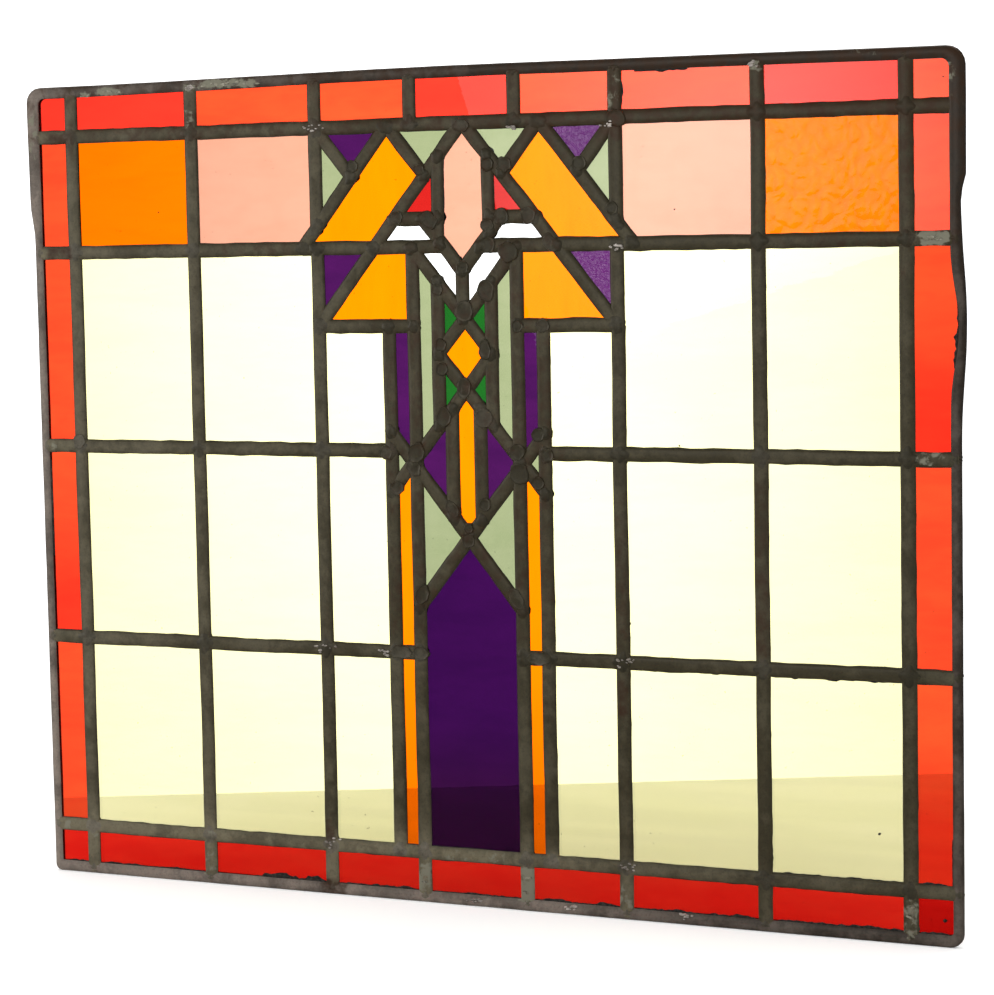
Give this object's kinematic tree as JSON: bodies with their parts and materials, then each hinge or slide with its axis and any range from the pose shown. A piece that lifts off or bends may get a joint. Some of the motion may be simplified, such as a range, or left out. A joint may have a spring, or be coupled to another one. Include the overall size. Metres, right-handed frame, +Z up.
{
  "type": "stained glass window",
  "caption": "Rectangular leaded window panel: pale panes in a grid, a red border and a geometric ornament of coloured panes down the middle, all held in soldered lead cames.",
  "frame": {"origin": "middle of the bottom edge, on the flat outer face of the border came that sits in the sash", "axes": "+X across the panel to the viewer's right, +Z up the panel, -Y out of its front face"},
  "size_m": [0.5947, 0.0056, 0.4917],
  "materials": {
    "lead": "dull oxidised lead came, brown-grey, rubbed paler on the border",
    "solder": "flat domed solder joints, dark patina, some bright spots",
    "putty": "dark oily glazing cement squeezed out along the border",
    "old_paint": "worn remains of pale grey-green sash paint",
    "red_glass": "clear red sheet glass",
    "straw_glass": "clear sheet glass with a faint straw tint",
    "orange_glass": "clear orange sheet glass",
    "rippled_orange_glass": "rippled orange cathedral glass",
    "pink_glass": "streaky salmon pink glass",
    "purple_glass": "deep purple glass",
    "green_glass": "pale grey-green glass",
    "dark_green_glass": "dark green glass",
    "white_glass": "clear colourless glass"
  },
  "bodies": {
    "root": {"lead_net": "lead", "red_corner_bottom_left": "red_glass", "red_corner_bottom_right": "red_glass", "red_bottom_1": "red_glass", "red_bottom_2": "red_glass", "red_bottom_3": "red_glass", "red_bottom_4": "red_glass", "red_bottom_5": "red_glass", "red_bottom_6": "red_glass", "red_bottom_7": "red_glass", "red_corner_top_left": "red_glass", "red_corner_top_right": "red_glass", "red_top_1": "red_glass", "red_top_2": "red_glass", "red_top_3": "red_glass", "red_top_4": "red_glass", "red_top_5": "red_glass", "red_top_6": "red_glass", "red_top_7": "red_glass", "red_left_1": "red_glass", "red_left_2": "red_glass", "red_left_3": "red_glass", "red_left_4": "red_glass", "red_right_1": "red_glass", "red_right_2": "red_glass", "red_right_3": "red_glass", "red_right_4": "red_glass", "pale_outer_left_1": "straw_glass", "pale_inner_left_1": "straw_glass", "pale_narrow_left_1": "straw_glass", "pale_outer_left_2": "straw_glass", "pale_inner_left_2": "straw_glass", "pale_narrow_left_2": "straw_glass", "pale_outer_left_3": "straw_glass", "pale_inner_left_3": "straw_glass", "pale_narrow_left_3": "straw_glass", "pale_outer_right_1": "straw_glass", "pale_inner_right_1": "straw_glass", "pale_narrow_right_1": "straw_glass", "pale_outer_right_2": "straw_glass", "pale_inner_right_2": "straw_glass", "pale_narrow_right_2": "straw_glass", "pale_outer_right_3": "straw_glass", "pale_inner_right_3": "straw_glass", "pale_narrow_right_3": "straw_glass", "orange_top_left": "orange_glass", "orange_top_right": "rippled_orange_glass", "pink_top_left": "pink_glass", "pink_top_right": "pink_glass", "pink_hexagon": "pink_glass", "orange_spear": "orange_glass", "purple_blade": "purple_glass", "orange_wing_left": "orange_glass", "orange_shoulder_left": "orange_glass", "orange_strip_upper_left": "orange_glass", "orange_strip_lower_left": "orange_glass", "orange_wing_right": "orange_glass", "orange_shoulder_right": "orange_glass", "orange_strip_upper_right": "orange_glass", "orange_strip_lower_right": "orange_glass"}
  },
  "joints": []
}
